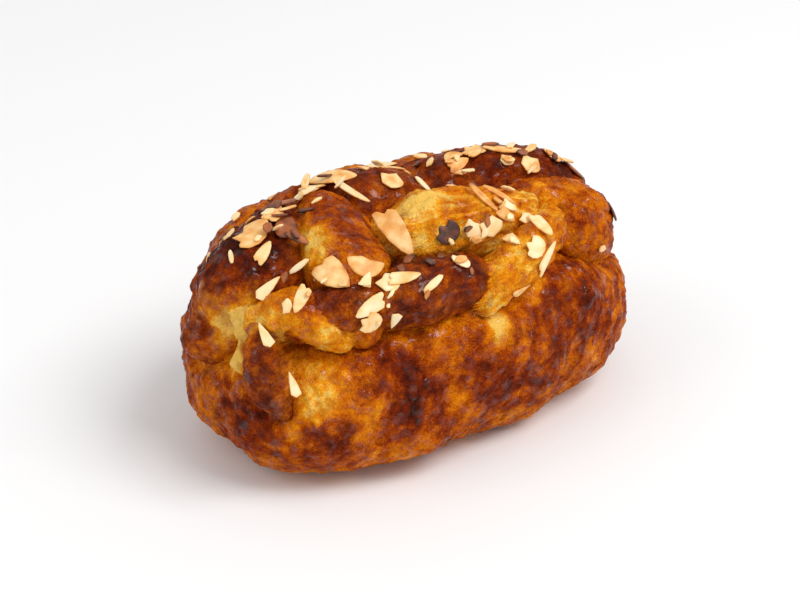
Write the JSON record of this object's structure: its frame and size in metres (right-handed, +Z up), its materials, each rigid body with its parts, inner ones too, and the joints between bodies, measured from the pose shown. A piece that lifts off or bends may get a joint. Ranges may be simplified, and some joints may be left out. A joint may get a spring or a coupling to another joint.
{
  "type": "sweet potato mini loaf",
  "caption": "Small tin-baked loaf of twisted sweet-potato dough with a glazed brown crust, strewn with flaked almonds.",
  "frame": {"origin": "middle of the loaf's footprint, on the surface that it rests on", "axes": "+X along the loaf towards its rounder, plainer end, +Y across it towards the back, +Z up"},
  "size_m": [0.1628, 0.0972, 0.0885],
  "materials": {
    "crust": "satin",
    "almond_pale": "matte",
    "almond_toasted": "satin",
    "almond_dark": "satin"
  },
  "bodies": {
    "root": {"loaf": "crust", "almond_toasted_01": "almond_toasted", "almond_toasted_02": "almond_toasted", "almond_toasted_03": "almond_toasted", "almond_toasted_04": "almond_toasted", "almond_dark_05": "almond_dark", "almond_dark_06": "almond_dark", "almond_pale_07": "almond_pale", "almond_pale_08": "almond_pale", "almond_pale_09": "almond_pale", "almond_toasted_10": "almond_toasted", "almond_dark_11": "almond_dark", "almond_pale_12": "almond_pale", "almond_pale_13": "almond_pale", "almond_toasted_14": "almond_toasted", "almond_toasted_15": "almond_toasted", "almond_pale_16": "almond_pale", "almond_pale_17": "almond_pale", "almond_pale_18": "almond_pale", "almond_pale_19": "almond_pale", "almond_pale_20": "almond_pale", "almond_pale_21": "almond_pale", "almond_pale_22": "almond_pale", "almond_pale_23": "almond_pale", "almond_pale_24": "almond_pale", "almond_pale_25": "almond_pale", "almond_pale_26": "almond_pale", "almond_pale_27": "almond_pale", "almond_pale_28": "almond_pale", "almond_toasted_29": "almond_toasted", "almond_dark_30": "almond_dark", "almond_pale_31": "almond_pale", "almond_pale_32": "almond_pale", "almond_pale_33": "almond_pale", "almond_pale_34": "almond_pale", "almond_toasted_35": "almond_toasted", "almond_pale_36": "almond_pale", "almond_pale_37": "almond_pale", "almond_pale_38": "almond_pale", "almond_pale_39": "almond_pale", "almond_pale_40": "almond_pale", "almond_toasted_41": "almond_toasted", "almond_toasted_42": "almond_toasted", "almond_toasted_43": "almond_toasted", "almond_toasted_44": "almond_toasted", "almond_toasted_45": "almond_toasted", "almond_pale_46": "almond_pale", "almond_pale_47": "almond_pale", "almond_toasted_48": "almond_toasted", "almond_toasted_49": "almond_toasted", "almond_toasted_50": "almond_toasted", "almond_toasted_51": "almond_toasted", "almond_pale_52": "almond_pale", "almond_toasted_53": "almond_toasted", "almond_toasted_54": "almond_toasted", "almond_dark_55": "almond_dark", "almond_dark_56": "almond_dark", "almond_toasted_57": "almond_toasted", "almond_pale_58": "almond_pale", "almond_toasted_59": "almond_toasted"}
  },
  "joints": []
}
